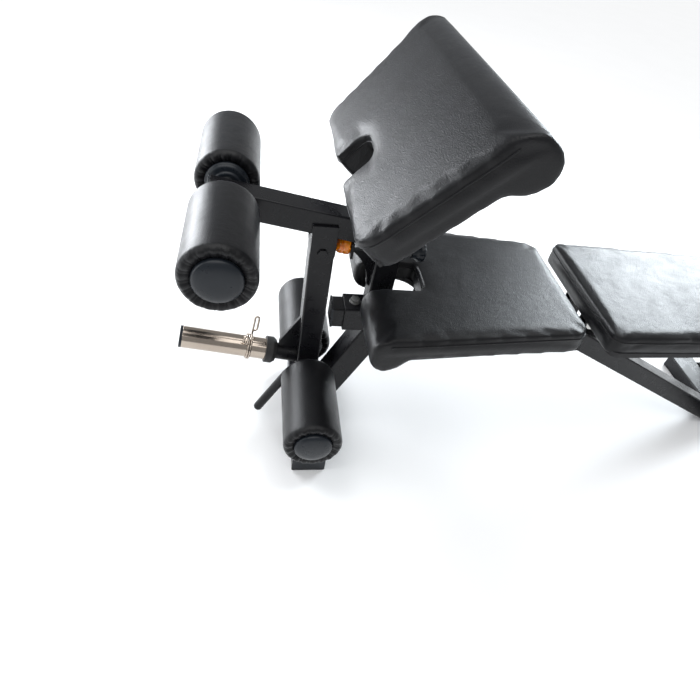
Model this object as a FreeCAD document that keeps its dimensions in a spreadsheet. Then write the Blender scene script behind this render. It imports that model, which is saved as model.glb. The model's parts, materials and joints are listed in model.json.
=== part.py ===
"""Adjustable weight bench: flat-to-upright bench, arm-curl pad and leg-curl arm.

Frame: +X runs from the leg-curl end to the head end, +Y runs across the bench
and +Z is up.  The origin is the middle of the front foot's underside, on the
floor.  All sizes are millimetres and degrees.
"""
import FreeCAD, Part
import math
import os
import re
import Sketcher

Vector = FreeCAD.Vector

SIZES = {
    # tubes
    "tube": 50, "wall": 3, "tube_corner": 4,
    "foot_wide": 80, "foot_high": 45, "front_foot_length": 346, "rear_foot_length": 460,
    "plug_flange": 4, "plug_depth": 18,
    # front leg, sleeve and post
    "leg_tube": 60, "leg_slope": 64.8, "leg_foot_x": -4,
    "beam_z": 362, "beam_front": 29, "beam_end": 560, "spine_slope": 26.2,
    "sleeve_wall": 4.5, "sleeve_gap": 0.5, "sleeve_front": 53, "sleeve_back": 165,
    "lock_bolt_x": 77, "lock_bolt_radius": 6,
    "post_x": 123, "post_top": 600, "post_wall": 2.8, "post_gap": 0.4,
    # upper tube and its rollers
    "roller_x": -198.6, "roller_z": 621.5, "upper_slope": 9.1, "upper_end": 28,
    "axle_radius": 12.5, "axle_gap": 0.05,
    "roller_radius": 62, "roller_length": 204, "roller_start": 52, "hub_radius": 17,
    "cap_radius": 40, "cap_thick": 5, "collar_radius": 40, "collar_length": 13,
    # swinging arm
    "arm_x": -13, "pivot_drop": 9.5, "arm_bottom": 180, "lower_axle_z": 205.5,
    "lug_thick": 6, "lug_gap": 0.6, "pivot_bolt_radius": 8, "pivot_head": 4, "bush_wall": 4,
    "weight_z": 228, "weight_tilt": 9.5, "stub_radius": 19, "stub_length": 52,
    "flange_radius": 31, "flange_length": 24, "weight_radius": 25, "weight_length": 186,
    "weight_wall": 3, "weight_cap": 6, "clip_place": 40, "clip_wire": 2.6,
    "clip_gap": 0.3, "clip_pitch": 4.9,
    "arm_gusset_thick": 8, "arm_gusset_up": 116, "arm_gusset_out": 44,
    # bumper and its gusset
    "bumper_radius": 20, "bumper_drop": 0.3, "gusset_thick": 12, "bumper_plate": 6, "bumper_gap": 0.5,
    "gusset_low": 440, "bumper_length": 32,
    # low front handle
    "handle_radius": 11, "handle_z": 158, "handle_bend_x": -57, "handle_tip_x": -122,
    "handle_slope": 62,
    # arm-curl pad
    "curl_x": -3, "curl_z": 689, "curl_slope": 46.6, "curl_length": 267, "curl_roll": 40,
    "curl_low_width": 516, "curl_high_width": 600, "curl_thick": 56, "curl_notch_wide": 88,
    "curl_notch_deep": 74, "roll_step": 0.4, "bracket_lead": 12, "curl_hole_step": 25,
    # seat
    "seat_front": 72, "seat_rear": 546, "seat_top": 470, "seat_roll": 40,
    "seat_front_width": 442, "seat_rear_width": 346, "seat_notch_wide": 92, "seat_notch_end": 207,
    "pad_thick": 52, "board_thick": 12, "board_inset": 10, "pad_corner": 30,
    "rail_wide": 25, "rail_high": 30, "rail_gap": 5, "rail_wall": 2,
    "seat_rail_front": 222, "seat_bolt_front_x": 330, "seat_bolt_rear_x": 512, "seat_bolt_radius": 6,
    "rail_tie": 30, "pin_head": 4, "pin_reach": 1, "lug_drop": 1, "lug_foot": 22,
    # backrest
    "back_front": 588, "back_length": 750, "back_front_width": 388, "back_head_width": 330,
    "back_pivot_x": 624, "back_pivot_radius": 8, "lug_plate": 4.5,
    "sector_radius": 120, "sector_band": 20, "sector_thick": 6, "sector_y": -42,
    "sector_first": 20, "sector_step": 13, "pin_radius": 5, "lock_gap": 3, "lock_x_half": 26,
    "lock_top_half": 14,
    # pull pins
    "pin_height": 531, "barrel_radius": 10.5, "barrel_length": 22, "knob_radius": 22,
    "knob_length": 28, "pin_gap": 0.3, "pin_travel": 8,
    # wheels
    "wheel_radius": 35, "wheel_wide": 24, "wheel_lift": 3, "wheel_bolt_radius": 5,
    "wheel_inset": 50, "wheel_gap": 4, "fork_gap": 1, "fork_low": 14, "fork_high": 7, "fork_end": 12,
    # plates, washers and screws
    "plate_thick": 5, "washer": 2, "screw_radius": 4, "screw_inset": 15, "cutter_lead": 10,
}

doc = FreeCAD.newDocument("adjustable_weight_bench")
sheet = doc.addObject("Spreadsheet::Sheet", "Sizes")
for row, (alias, number) in enumerate(SIZES.items(), 1):
    sheet.set("A%d" % row, alias)
    sheet.set("B%d" % row, str(number))
    sheet.setAlias("B%d" % row, alias)
doc.recompute()
size = {alias: float(sheet.get(alias)) for alias in SIZES}
nodes = {}


# ---------------------------------------------------------------- helpers


def linked(text):
    """The expression with every size name pointing at its cell."""
    return re.sub(r"[a-z][a-z_]+", lambda m: "Sizes." + m.group() if m.group() in SIZES else m.group(),
                  str(text))


def bind(item, prop, text):
    item.setExpression(prop, linked(text))


def put(item, place, axis=None, angle=None):
    """Set a piece down at a point, turned by an angle about an axis."""
    if axis is not None:
        start = angle if isinstance(angle, (int, float)) else 1
        item.Placement = FreeCAD.Placement(Vector(), FreeCAD.Rotation(Vector(*axis), start))
        if not isinstance(angle, (int, float)):
            bind(item, "Placement.Rotation.Angle", angle)
    for name, text in zip("xyz", place):
        bind(item, "Placement.Base." + name, text)
    return item


def node(name, item):
    """Name a finished sub-part; its label is its file's name."""
    item.Label = name
    nodes[name] = item
    return item


def block(name, low, high):
    item = doc.addObject("Part::Box", name)
    for prop, a, b in zip(("Length", "Width", "Height"), low, high):
        bind(item, prop, "(%s) - (%s)" % (b, a))
    return put(item, low)


TURNS = {"x": ((0, 1, 0), 90), "y": ((1, 0, 0), -90), "z": ((0, 0, 1), 0)}


def rod(name, radius, length, start, along="z"):
    """A round bar from a start point along +x, +y or +z."""
    item = doc.addObject("Part::Cylinder", name)
    bind(item, "Radius", radius)
    bind(item, "Height", length)
    return put(item, start, *TURNS[along])


def ball(name, radius, centre):
    item = doc.addObject("Part::Sphere", name)
    bind(item, "Radius", radius)
    return put(item, centre)


def join(name, *pieces):
    item = doc.addObject("Part::MultiFuse", name)
    item.Shapes = list(pieces)
    item.Refine = True
    return item


def group(name, *pieces):
    """Separate solids that share one node."""
    item = doc.addObject("Part::Compound", name)
    item.Links = list(pieces)
    return item


def cut(name, base, *tools):
    item = doc.addObject("Part::Cut", name)
    item.Base = base
    item.Tool = tools[0] if len(tools) == 1 else join(name + "_cutters", *tools)
    return item


def ring(name, outer, inner, length, start, along="z"):
    return cut(name, rod(name + "_outside", outer, length, start, along),
               rod(name + "_bore", inner, length, start, along))


START = 100.0


def outline(body, name, plane, corners):
    """A closed sketch whose corners are bound to the sheet."""
    sketch = body.newObject("Sketcher::SketchObject", name)
    base = [item for item in body.Origin.OriginFeatures if item.Role == plane][0]
    sketch.AttachmentSupport = [(base, "")]
    sketch.MapMode = "FlatFace"
    count = len(corners)
    for index in range(count):
        turn = 2 * math.pi * index / count
        after = 2 * math.pi * (index + 1) / count
        sketch.addGeometry(Part.LineSegment(
            Vector(START * math.cos(turn), START * math.sin(turn), 0),
            Vector(START * math.cos(after), START * math.sin(after), 0)), False)
    for index in range(count):
        sketch.addConstraint(Sketcher.Constraint("Coincident", index, 2, (index + 1) % count, 1))
    for index, corner in enumerate(corners):
        for kind, text in zip(("DistanceX", "DistanceY"), corner):
            place = sketch.addConstraint(Sketcher.Constraint(kind, -1, 1, index, 1, START))
            bind(sketch, "Constraints[%d]" % place, text)
    return sketch


def profile(name, corners, width, radius=None, across=False):
    """A side outline in x and z, padded half of the width to each side of y = 0.

    With a radius, the four longest edges are rounded, as on a drawn square tube,
    or the edges that run across the bench.
    """
    body = doc.addObject("PartDesign::Body", name)
    pad = body.newObject("PartDesign::Pad", name + "_pad")
    pad.Profile = outline(body, name + "_outline", "XZ_Plane", corners)
    pad.SideType = "Symmetric"
    bind(pad, "Length", width)
    body.Tip = pad
    doc.recompute()
    if radius:
        ranked = sorted(enumerate(pad.Shape.Edges, 1), key=lambda pair: -pair[1].Length)[:4]
        if across:
            ranked = [(index, edge) for index, edge in enumerate(pad.Shape.Edges, 1)
                      if abs(edge.tangentAt(edge.FirstParameter).y) > 0.99]
        smooth = body.newObject("PartDesign::Fillet", name + "_corners")
        smooth.Base = (pad, ["Edge%d" % index for index, edge in ranked])
        bind(smooth, "Radius", radius)
        body.Tip = smooth
    return body


def plan(name, corners, thick, z, radius=None):
    """A plan outline in x and y, padded up from z, with its upright corners rounded."""
    body = doc.addObject("PartDesign::Body", name)
    pad = body.newObject("PartDesign::Pad", name + "_pad")
    pad.Profile = outline(body, name + "_outline", "XY_Plane", corners)
    bind(pad, "Length", thick)
    body.Tip = pad
    doc.recompute()
    if radius:
        upright = ["Edge%d" % index for index, edge in enumerate(pad.Shape.Edges, 1)
                   if abs(edge.tangentAt(edge.FirstParameter).z) > 0.99]
        smooth = body.newObject("PartDesign::Fillet", name + "_corners")
        smooth.Base = (pad, upright)
        bind(smooth, "Radius", radius)
        body.Tip = smooth
    return put(body, ("0", "0", z))


def rect(x_low, x_high, z_low, z_high):
    return [(x_low, z_low), (x_high, z_low), (x_high, z_high), (x_low, z_high)]


def hollow(name, outer, inner, width, wall, radius="tube_corner"):
    """A square tube: an outer outline less an inner one, both across y."""
    return cut(name, profile(name + "_outside", outer, width, radius),
               profile(name + "_inside", inner, "(%s) - 2 * (%s)" % (width, wall)))


def shifted(item, y):
    return put(item, ("0", y, "0"))


def mirrored(name, item):
    """The same piece on the other side of y = 0."""
    other = doc.addObject("Part::Mirroring", name)
    other.Source = item
    other.Normal = Vector(0, 1, 0)
    return other


# ---------------------------------------------------------------- places worked out from the sizes

SLEEVE = "(tube + 2 * sleeve_gap + 2 * sleeve_wall)"
SLEEVE_LOW = "(beam_z - %s / 2)" % SLEEVE
SLEEVE_TOP = "(beam_z + %s / 2)" % SLEEVE
BEAM_LOW = "(beam_z - tube / 2)"
BEAM_TOP = "(beam_z + tube / 2)"
MITRE = "tan(spine_slope / 2)"
LEG_TOP_X = "(leg_foot_x + (%s - foot_high) / tan(leg_slope))" % SLEEVE_LOW
POST_FRONT = "(post_x - tube / 2)"
POST_BACK = "(post_x + tube / 2)"
ARM_FRONT = "(arm_x - tube / 2)"
ARM_BACK = "(arm_x + tube / 2)"
SPINE_DROP = "(beam_z - foot_high * 0.7)"
SPINE_END = "(beam_end + %s / tan(spine_slope))" % SPINE_DROP
REAR_FOOT_X = "(%s + foot_wide / 2)" % SPINE_END
PAD_LOW = "(seat_top - pad_thick)"
RAIL_INNER = "(tube / 2 + rail_gap)"
RAIL_MID = "(%s + rail_wide / 2)" % RAIL_INNER
RAIL_Z = "(%s - rail_high / 2)" % PAD_LOW
HUB_OUTER = "(axle_radius + axle_gap)"
UPPER_RISE = "tan(upper_slope)"
UPPER_HALF = "(tube / 2 / cos(upper_slope))"
UPPER_HALF_IN = "((tube / 2 - wall) / cos(upper_slope))"
UPPER_LEFT = "(roller_x - upper_end)"


def upper_z(x):
    """Height of the upper tube's middle at x."""
    return "(roller_z - (%s - roller_x) * %s)" % (x, UPPER_RISE)


PIVOT_Z = "(%s - %s - tube / 2 - pivot_drop)" % (upper_z("arm_x"), UPPER_HALF)
GUSSET_TIP = "(%s + bumper_gap + bumper_length)" % ARM_BACK
BUMPER_Z = "(%s - %s - bumper_radius - bumper_drop)" % (upper_z("(%s + bumper_plate)" % GUSSET_TIP),
                                                        UPPER_HALF)


# ---------------------------------------------------------------- fixed frame

def foot(name, x, length):
    """A cross foot lying on the floor, open at both ends for its plugs."""
    low, high = "%s - foot_wide / 2" % x, "%s + foot_wide / 2" % x
    inner = rect(low + " + wall", high + " - wall", "wall", "foot_high - wall")
    tube_length = "%s - 2 * plug_flange" % length
    outer = rect(low, high, "0", "foot_high")
    return cut(name, profile(name + "_outside", outer, tube_length, "tube_corner", True),
               profile(name + "_inside", inner, length))


def foot_plug(name, x, length, side):
    """A moulded plug: a flange over the tube's end and a tongue inside it."""
    low, high = "%s - foot_wide / 2" % x, "%s + foot_wide / 2" % x
    end = "%s / 2" % length
    inner = rect(low + " + wall", high + " - wall", "wall", "foot_high - wall")
    flange = profile(name + "_flange", rect(low, high, "0", "foot_high"), "plug_flange",
                     "tube_corner", True)
    tongue = profile(name + "_tongue", inner, "plug_depth")
    shifted(flange, "%d * (%s - plug_flange / 2)" % (side, end))
    shifted(tongue, "%d * (%s - plug_flange - plug_depth / 2)" % (side, end))
    return join(name, flange, tongue)


node("front_foot", foot("front_foot", "0", "front_foot_length"))
node("rear_foot", foot("rear_foot", REAR_FOOT_X, "rear_foot_length"))
node("foot_plugs", group("foot_plugs", *[
    foot_plug("foot_plug_%d" % index, x, length, side) for index, (x, length, side) in enumerate(
        [("0", "front_foot_length", 1), ("0", "front_foot_length", -1),
         (REAR_FOOT_X, "rear_foot_length", 1), (REAR_FOOT_X, "rear_foot_length", -1)], 1)]))

leg_half = "(leg_tube / 2 / sin(leg_slope))"
leg_half_inside = "((leg_tube / 2 - wall) / sin(leg_slope))"


def leg_outline(half):
    return [("leg_foot_x - " + half, "foot_high"), ("leg_foot_x + " + half, "foot_high"),
            (LEG_TOP_X + " + " + half, SLEEVE_LOW), (LEG_TOP_X + " - " + half, SLEEVE_LOW)]


node("front_leg", hollow("front_leg", leg_outline(leg_half), leg_outline(leg_half_inside), "leg_tube",
                         "wall"))

handle_face_x = "(leg_foot_x + (handle_z - foot_high) / tan(leg_slope) - leg_tube / 2 / sin(leg_slope))"
handle_tip_z = "(handle_z - (handle_bend_x - handle_tip_x) * tan(handle_slope))"
handle_drop = doc.addObject("Part::Cylinder", "front_handle_drop")
bind(handle_drop, "Radius", "handle_radius")
bind(handle_drop, "Height", "(handle_bend_x - handle_tip_x) / cos(handle_slope)")
put(handle_drop, ("handle_tip_x", "0", handle_tip_z), (0, 1, 0), "90 - handle_slope")
handle_run = rod("front_handle_run", "handle_radius",
                 "%s - handle_bend_x + handle_radius" % handle_face_x,
                 ("handle_bend_x", "0", "handle_z"), "x")
node("front_handle", cut(
    "front_handle",
    join("front_handle_bar", handle_drop, handle_run,
         ball("front_handle_bend", "handle_radius", ("handle_bend_x", "0", "handle_z")),
         ball("front_handle_tip", "handle_radius", ("handle_tip_x", "0", handle_tip_z))),
    profile("front_handle_trim", leg_outline(leg_half), "leg_tube")))


def beam_outline(inset):
    """The level beam, mitred where it meets the sloping spine."""
    half = "(tube / 2 - %s)" % inset
    return [("beam_front", "beam_z - " + half),
            ("beam_end - %s * %s" % (half, MITRE), "beam_z - " + half),
            ("beam_end + %s * %s" % (half, MITRE), "beam_z + " + half),
            ("beam_front", "beam_z + " + half)]


def spine_outline(inset):
    half = "(tube / 2 - %s)" % inset
    end_half = "(%s / cos(spine_slope))" % half
    end_z = "foot_high * 0.7"
    return [("beam_end - %s * %s" % (half, MITRE), "beam_z - " + half),
            (SPINE_END, "%s - %s" % (end_z, end_half)), (SPINE_END, "%s + %s" % (end_z, end_half)),
            ("beam_end + %s * %s" % (half, MITRE), "beam_z + " + half)]


node("main_beam", hollow("main_beam", beam_outline("0"), beam_outline("wall"), "tube", "wall"))
node("rear_spine", hollow("rear_spine", spine_outline("0"), spine_outline("wall"), "tube", "wall"))

sleeve_tube = hollow("receiver_tube", rect("sleeve_front", "sleeve_back", SLEEVE_LOW, SLEEVE_TOP),
                     rect("sleeve_front", "sleeve_back", BEAM_LOW + " - sleeve_gap",
                          BEAM_TOP + " + sleeve_gap"),
                     SLEEVE, "sleeve_wall")
node("receiver_sleeve", cut("receiver_sleeve", sleeve_tube,
                            rod("receiver_bolt_hole", "lock_bolt_radius", "2 * sleeve_wall",
                                ("lock_bolt_x", "0", SLEEVE_TOP + " - 1.5 * sleeve_wall"))))

lock_head = doc.addObject("Part::Prism", "lock_bolt_head")
lock_head.Polygon = 6
bind(lock_head, "Circumradius", "lock_bolt_radius * 1.75")
bind(lock_head, "Height", "lock_bolt_radius * 1.25")
put(lock_head, ("lock_bolt_x", "0", SLEEVE_TOP + " + washer"))
node("lock_bolt", join("lock_bolt", lock_head,
                       rod("lock_bolt_washer", "lock_bolt_radius * 2.1", "washer",
                           ("lock_bolt_x", "0", SLEEVE_TOP)),
                       rod("lock_bolt_shank", "lock_bolt_radius", "sleeve_wall + sleeve_gap + washer",
                           ("lock_bolt_x", "0", BEAM_TOP))))

post_tube = hollow("front_post_tube", rect(POST_FRONT, POST_BACK, SLEEVE_TOP, "post_top"),
                   rect(POST_FRONT + " + post_wall", POST_BACK + " - post_wall", SLEEVE_TOP, "post_top"),
                   "tube", "post_wall")
node("front_post", cut("front_post", post_tube,
                       rod("front_post_pin_hole", "pin_radius + pin_gap", "2 * post_wall",
                           (POST_BACK + " - 1.5 * post_wall", "0", "pin_height"), "x")))

# ---------------------------------------------------------------- upper tube, lugs, bumper

def upper_outline(half):
    low = [(x, "%s - %s" % (upper_z(x), half)) for x in (UPPER_LEFT, POST_FRONT)]
    high = [(x, "%s + %s" % (upper_z(x), half)) for x in (POST_FRONT, UPPER_LEFT)]
    return low + high


node("upper_tube", cut("upper_tube",
                       hollow("upper_tube_body", upper_outline(UPPER_HALF), upper_outline(UPPER_HALF_IN),
                              "tube", "wall"),
                       rod("upper_tube_axle_hole", "axle_radius", "2 * tube",
                           ("roller_x", "-tube", "roller_z"), "y")))


def tube_plug(name, x, z, slope):
    """A plug facing -X for a 50 mm square tube that slopes down towards +X."""
    flange = profile(name + "_flange", rect("-plug_flange", "0", "-tube / 2", "tube / 2"), "tube")
    tongue = profile(name + "_tongue", rect("0", "plug_depth", "-tube / 2 + wall", "tube / 2 - wall"),
                     "tube - 2 * wall")
    return put(join(name, flange, tongue), (x, "0", z), (0, 1, 0), slope)


UPPER_PLUG_END = UPPER_LEFT + " - plug_flange"
UPPER_END_LOW = "%s - %s" % (upper_z(UPPER_LEFT), UPPER_HALF)
UPPER_END_HIGH = "%s + %s" % (upper_z(UPPER_LEFT), UPPER_HALF)
upper_plug = cut("upper_plug",
                 profile("upper_plug_blank", rect(UPPER_PLUG_END, UPPER_LEFT, UPPER_END_LOW, UPPER_END_HIGH),
                         "tube"),
                 rod("upper_plug_dimple", "tube / 5", "plug_flange / 2",
                     (UPPER_PLUG_END, "0", upper_z(UPPER_LEFT)), "x"))
node("tube_plugs", group("tube_plugs", tube_plug("beam_plug", "beam_front", "beam_z", 0), upper_plug))


def lug(name, side):
    """One ear of the arm's clevis, welded to the side of the upper tube."""
    y_face = "tube / 2" if side > 0 else "-tube / 2 - lug_gap - lug_thick"
    thick = "lug_gap + lug_thick"
    top = upper_z("arm_x")
    ear = join(name + "_ear",
               block(name + "_plate", (ARM_FRONT, y_face, PIVOT_Z),
                     (ARM_BACK, "%s + %s" % (y_face, thick), top)),
               rod(name + "_round", "tube / 2", thick, ("arm_x", y_face, PIVOT_Z), "y"))
    relief_low = "tube / 2" if side > 0 else "-tube / 2 - lug_gap"
    relief = block(name + "_relief", ("arm_x - tube", relief_low, PIVOT_Z + " - tube"),
                   ("arm_x + tube", relief_low + " + lug_gap",
                    "%s - %s - tube / 2 * %s" % (upper_z("arm_x"), UPPER_HALF, UPPER_RISE)))
    bore = rod(name + "_hole", "pivot_bolt_radius", "2 * " + "(%s)" % thick,
               ("arm_x", "%s - (%s) / 2" % (y_face, thick), PIVOT_Z), "y")
    return cut(name, ear, relief, bore)


node("pivot_lugs", group("pivot_lugs", lug("pivot_lug_left", 1), lug("pivot_lug_right", -1)))

lug_outside = "(tube / 2 + lug_gap + lug_thick)"


def hex_head(name, radius, thick, start, along):
    head = doc.addObject("Part::Prism", name)
    head.Polygon = 6
    bind(head, "Circumradius", radius)
    bind(head, "Height", thick)
    return put(head, start, *TURNS[along])


node("pivot_bolt", join("pivot_bolt",
                        rod("pivot_bolt_shank", "pivot_bolt_radius", "2 * (%s + washer)" % lug_outside,
                            ("arm_x", "-%s - washer" % lug_outside, PIVOT_Z), "y"),
                        hex_head("pivot_bolt_head", "pivot_bolt_radius * 1.35", "pivot_head",
                                 ("arm_x", "-%s - pivot_head" % lug_outside, PIVOT_Z), "y"),
                        hex_head("pivot_bolt_nut", "pivot_bolt_radius * 1.6",
                                 "pivot_bolt_radius + washer",
                                 ("arm_x", lug_outside, PIVOT_Z), "y")))

gusset_blank = profile("stop_gusset_blank",
                       [(GUSSET_TIP, BUMPER_Z + " - bumper_radius"),
                        (GUSSET_TIP, BUMPER_Z + " - bumper_radius * 0.4"),
                        (POST_FRONT, BUMPER_Z + " - bumper_radius * 0.4"), (POST_FRONT, "gusset_low")],
                       "gusset_thick")
gusset_scoop = rod("stop_gusset_scoop", "(%s - bumper_radius - gusset_low) * 1.25" % BUMPER_Z,
                   "2 * gusset_thick",
                   (GUSSET_TIP + " - (%s - gusset_low) * 0.5" % BUMPER_Z, "-gusset_thick",
                    "gusset_low + bumper_radius * 0.4"), "y")
gusset_plate = block("stop_gusset_plate",
                     (GUSSET_TIP, "-bumper_radius", BUMPER_Z + " - bumper_radius"),
                     (GUSSET_TIP + " + bumper_plate", "bumper_radius",
                      BUMPER_Z + " + bumper_radius * 0.7"))
node("stop_gusset", join("stop_gusset", cut("stop_gusset_web", gusset_blank, gusset_scoop), gusset_plate))

bumper_body = doc.addObject("Part::Cone", "bumper_cone")
bind(bumper_body, "Radius1", "bumper_radius * 0.72")
bind(bumper_body, "Radius2", "bumper_radius * 0.95")
bind(bumper_body, "Height", "bumper_length")
put(bumper_body, (GUSSET_TIP + " - bumper_length", "0", BUMPER_Z), *TURNS["x"])
node("bumper", bumper_body)

node("upper_axle", rod("upper_axle", "axle_radius", "2 * (roller_start + roller_length + cap_thick)",
                       ("roller_x", "-(roller_start + roller_length + cap_thick)", "roller_z"), "y"))

# ---------------------------------------------------------------- rollers


def roller(prefix, x, z, side):
    """A foam roller on its own hub: the hub has a collar inside and a disc outside."""
    start = "roller_start" if side > 0 else "-roller_start - roller_length"
    far = "roller_start + roller_length"
    collar_y = "roller_start - collar_length" if side > 0 else "-roller_start"
    cap_y = far if side > 0 else "-(%s) - cap_thick" % far
    hub = join(prefix + "_hub_blank",
               rod(prefix + "_liner", "hub_radius", "roller_length", (x, start, z), "y"),
               rod(prefix + "_collar", "collar_radius", "collar_length", (x, collar_y, z), "y"),
               rod(prefix + "_disc", "cap_radius", "cap_thick", (x, cap_y, z), "y"))
    bore = rod(prefix + "_bore", HUB_OUTER, "roller_start + roller_length",
               (x, "roller_start / 2" if side > 0 else "-roller_start * 1.5 - roller_length", z), "y")
    node(prefix + "_hub", cut(prefix + "_hub", hub, bore))
    node(prefix + "_foam", ring(prefix + "_foam", "roller_radius", "hub_radius", "roller_length",
                                (x, start, z), "y"))


roller("upper_roller_left", "roller_x", "roller_z", 1)
roller("upper_roller_right", "roller_x", "roller_z", -1)
roller("lower_roller_left", "arm_x", "lower_axle_z", 1)
roller("lower_roller_right", "arm_x", "lower_axle_z", -1)

# ---------------------------------------------------------------- swinging arm

arm_tube = hollow("swing_arm_tube", rect(ARM_FRONT, ARM_BACK, "arm_bottom", PIVOT_Z),
                  rect(ARM_FRONT + " + wall", ARM_BACK + " - wall", "arm_bottom", PIVOT_Z),
                  "tube", "wall")
arm_boss = rod("swing_arm_boss", "tube / 2", "tube", ("arm_x", "-tube / 2", PIVOT_Z), "y")
node("swing_arm", cut("swing_arm", join("swing_arm_blank", arm_tube, arm_boss),
                      rod("swing_arm_bush_bore", "pivot_bolt_radius + bush_wall", "2 * tube",
                          ("arm_x", "-tube", PIVOT_Z), "y"),
                      rod("swing_arm_axle_hole", "axle_radius", "2 * tube",
                          ("arm_x", "-tube", "lower_axle_z"), "y")))
node("pivot_bush", ring("pivot_bush", "pivot_bolt_radius + bush_wall", "pivot_bolt_radius + axle_gap",
                        "tube", ("arm_x", "-tube / 2", PIVOT_Z), "y"))
node("lower_axle", rod("lower_axle", "axle_radius", "2 * (roller_start + roller_length + cap_thick)",
                       ("arm_x", "-(roller_start + roller_length + cap_thick)", "lower_axle_z"), "y"))


def on_weight_axis(item, distance):
    """Place a round piece along the weight post, counted out from the arm's face."""
    return put(item, ("%s - (%s) * cos(weight_tilt)" % (ARM_FRONT, distance), "0",
                      "weight_z + (%s) * sin(weight_tilt)" % distance), (0, 1, 0), "weight_tilt - 90")


def turned(name, radius, length, distance):
    item = doc.addObject("Part::Cylinder", name)
    bind(item, "Radius", radius)
    bind(item, "Height", length)
    return on_weight_axis(item, distance)


FLANGE_END = "(stub_length + flange_length)"
stub_lead = "(stub_radius * tan(weight_tilt) + 1)"
node("weight_stub", cut("weight_stub",
                        join("weight_stub_bar",
                             turned("weight_stub_blank", "stub_radius", "stub_length + " + stub_lead,
                                    "-" + stub_lead),
                             turned("weight_stub_core", "weight_radius - weight_wall",
                                    "weight_length + flange_length",
                                    "stub_length")),
                        block("weight_stub_trim", (ARM_FRONT, "-tube", "weight_z - tube"),
                              (ARM_BACK, "tube", "weight_z + tube"))))
flange_bevel = doc.addObject("Part::Cone", "weight_flange_bevel")
bind(flange_bevel, "Radius1", "weight_radius")
bind(flange_bevel, "Radius2", "flange_radius")
bind(flange_bevel, "Height", "flange_length / 3")
on_weight_axis(flange_bevel, "stub_length")
node("weight_flange", cut("weight_flange",
                          join("weight_flange_blank", flange_bevel,
                               turned("weight_flange_rim", "flange_radius", "flange_length * 2 / 3",
                                      "stub_length + flange_length / 3")),
                          turned("weight_flange_bore", "weight_radius - weight_wall", "flange_length",
                                 "stub_length")))
node("weight_sleeve",
     cut("weight_sleeve",
         turned("weight_sleeve_outside", "weight_radius", "weight_length", FLANGE_END),
         turned("weight_sleeve_inside", "weight_radius - weight_wall", "weight_length", FLANGE_END)))
node("sleeve_cap", turned("sleeve_cap", "weight_radius", "weight_cap", FLANGE_END + " + weight_length"))
gusset_foot = "weight_z + stub_radius * 0.6"
node("arm_gusset", cut("arm_gusset",
                       profile("arm_gusset_blank",
                               [(ARM_FRONT, "weight_z"), (ARM_FRONT, "weight_z + arm_gusset_up"),
                                (ARM_FRONT + " - arm_gusset_out", "weight_z + stub_radius * 2.2"),
                                (ARM_FRONT + " - arm_gusset_out", "weight_z")], "arm_gusset_thick"),
                       turned("arm_gusset_seat", "stub_radius", "stub_length + 2 * stub_radius",
                              "-stub_radius"),
                       block("arm_gusset_trim",
                             (ARM_FRONT + " - 3 * arm_gusset_out", "-tube", "weight_z - tube"),
                             (ARM_FRONT, "tube", gusset_foot))))

# spring clip: three touching turns of wire with two handle loops
clip_centre = "(weight_radius + clip_gap + clip_wire)"
clip_middle = "(%s + clip_place)" % FLANGE_END
clip_top = "weight_z + %s * sin(weight_tilt) + %s" % (clip_middle, clip_centre)
coils = []
for turn in range(3):
    coil = doc.addObject("Part::Torus", "spring_clip_turn_%d" % (turn + 1))
    bind(coil, "Radius1", clip_centre)
    bind(coil, "Radius2", "clip_wire")
    coils.append(on_weight_axis(coil, "%s + %d * clip_pitch" % (clip_middle, turn - 1)))
for index, (lean, reach) in enumerate(((-8, 34), (8, 52))):
    for side in (-1, 1):
        leg = doc.addObject("Part::Cylinder", "spring_clip_leg_%d_%d" % (index + 1, (side + 3) // 2))
        bind(leg, "Radius", "clip_wire")
        leg.Height = reach
        put(leg, ("%s - (%s + %d * clip_pitch + %d * clip_wire) * cos(weight_tilt)" % (
            ARM_FRONT, clip_middle, 1 if index else -1, side * 2),
            "%d * clip_wire" % lean, clip_top),
            (1, 0, 0), -lean * 2)
        coils.append(leg)
    bridge = doc.addObject("Part::Cylinder", "spring_clip_bridge_%d" % (index + 1))
    bind(bridge, "Radius", "clip_wire")
    bind(bridge, "Height", "4 * clip_wire * cos(weight_tilt)")
    turn_angle = math.radians(lean * 2)
    put(bridge, ("%s - (%s + %d * clip_pitch + 2 * clip_wire) * cos(weight_tilt)" % (
        ARM_FRONT, clip_middle, 1 if index else -1),
        "%d * clip_wire + %.4f" % (lean, reach * math.sin(turn_angle)),
        "%s + %.4f" % (clip_top, reach * math.cos(turn_angle))),
        *TURNS["x"])
    coils.append(bridge)
node("spring_clip", join("spring_clip", *coils))

# ---------------------------------------------------------------- pads and boards


def screws(name, places, z_low, through):
    """Pan-head screws driven up into a board: the heads are below z_low."""
    made = []
    for index, (x, y) in enumerate(places, 1):
        head = rod("%s_head_%d" % (name, index), "screw_radius * 2", "screw_radius",
                   (x, y, "%s - screw_radius" % z_low))
        shank = rod("%s_shank_%d" % (name, index), "screw_radius", "%s + board_thick / 2" % through,
                    (x, y, z_low))
        made.append(join("%s_%d" % (name, index), head, shank))
    return group(name, *made)


def corners_of(x_pair, y):
    """The four places made by two x places and one distance to each side."""
    return [(x, sign + y) for x in x_pair for sign in ("-", "")]


def soft_pad(name, corners, thick, low, roll_x, roll_radius, roll_width, board, notch):
    """A padded cover: a flat pad with a rolled edge and a U notch, hollowed for its board."""
    flat = plan(name + "_flat", corners, thick, low)
    roll = rod(name + "_roll", roll_radius + " - roll_step", roll_width,
               (roll_x, "-(%s) / 2" % roll_width, "%s + (%s) - %s" % (low, thick, roll_radius)), "y")
    return cut(name, cut(name + "_room", join(name + "_blank", flat, roll), board), notch)


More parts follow.
